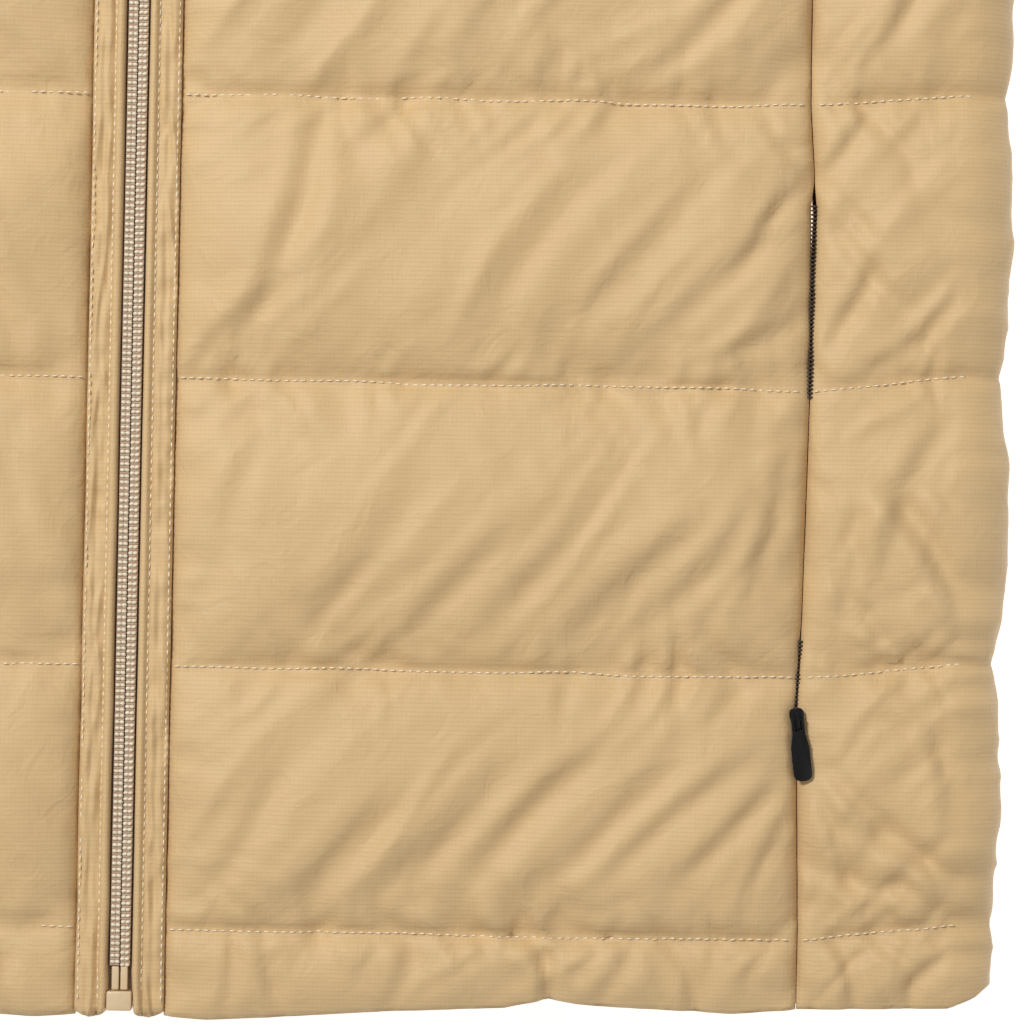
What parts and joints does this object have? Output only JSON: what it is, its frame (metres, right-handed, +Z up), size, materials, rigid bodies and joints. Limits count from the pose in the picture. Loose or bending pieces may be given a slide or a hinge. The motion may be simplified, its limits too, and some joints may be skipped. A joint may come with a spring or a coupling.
{
  "type": "down vest",
  "caption": "Sleeveless quilted down vest lying flat and zipped shut, with stand collar, side pockets with zips, bound armholes and hinged zip pulls.",
  "frame": {"origin": "centre of the bounding box's bottom face, where the vest's back lies on the surface", "axes": "+X towards the wearer's left, +Y from hem to collar, +Z up from the surface, out through the front of the vest"},
  "size_m": [0.5292, 0.7392, 0.0275],
  "materials": {
    "shell_cloth": "light khaki ripstop nylon, soft low sheen, padded and quilted",
    "zip_tape": "taupe woven polyester tape",
    "zip_coil": "cream nylon coil, satin",
    "zip_moulding": "beige moulded plastic, satin",
    "pocket_zip": "dark brown nylon coil",
    "black_enamel": "gloss black enamel on cast zinc"
  },
  "bodies": {
    "garment": {"front_left": "shell_cloth", "front_right": "shell_cloth", "side_left": "shell_cloth", "side_right": "shell_cloth", "back": "shell_cloth", "collar": "shell_cloth", "armhole_binding_left": "shell_cloth", "armhole_binding_right": "shell_cloth", "placket_left": "shell_cloth", "placket_right": "shell_cloth", "zip_tape_left": "zip_tape", "zip_tape_right": "zip_tape", "zip_coil_left": "zip_coil", "zip_coil_right": "zip_coil", "zip_pin_left": "zip_moulding", "zip_pin_right": "zip_moulding", "zip_box": "zip_moulding", "pocket_zip_left": "pocket_zip", "pocket_zip_right": "pocket_zip", "front_slider": "black_enamel", "pocket_slider_left": "black_enamel", "pocket_slider_right": "black_enamel"},
    "front_pull": {"front_pull": "black_enamel"},
    "pocket_pull_left": {"pocket_pull_left": "black_enamel"},
    "pocket_pull_right": {"pocket_pull_right": "black_enamel"}
  },
  "joints": [
    {"name": "front_pull_hinge", "type": "hinge", "parent": "garment", "child": "front_pull", "pos_m": [0, 0.26602, 0.0253], "axis": [-1, 0, 0], "range_deg": [0, 170]},
    {"name": "pocket_pull_left_hinge", "type": "hinge", "parent": "garment", "child": "pocket_pull_left", "pos_m": [0.20222, -0.27573, 0.023], "axis": [-0.9925, -0.1219, 0], "range_deg": [0, 170]},
    {"name": "pocket_pull_right_hinge", "type": "hinge", "parent": "garment", "child": "pocket_pull_right", "pos_m": [-0.20222, -0.27573, 0.023], "axis": [-0.9925, 0.1219, 0], "range_deg": [0, 170]}
  ]
}
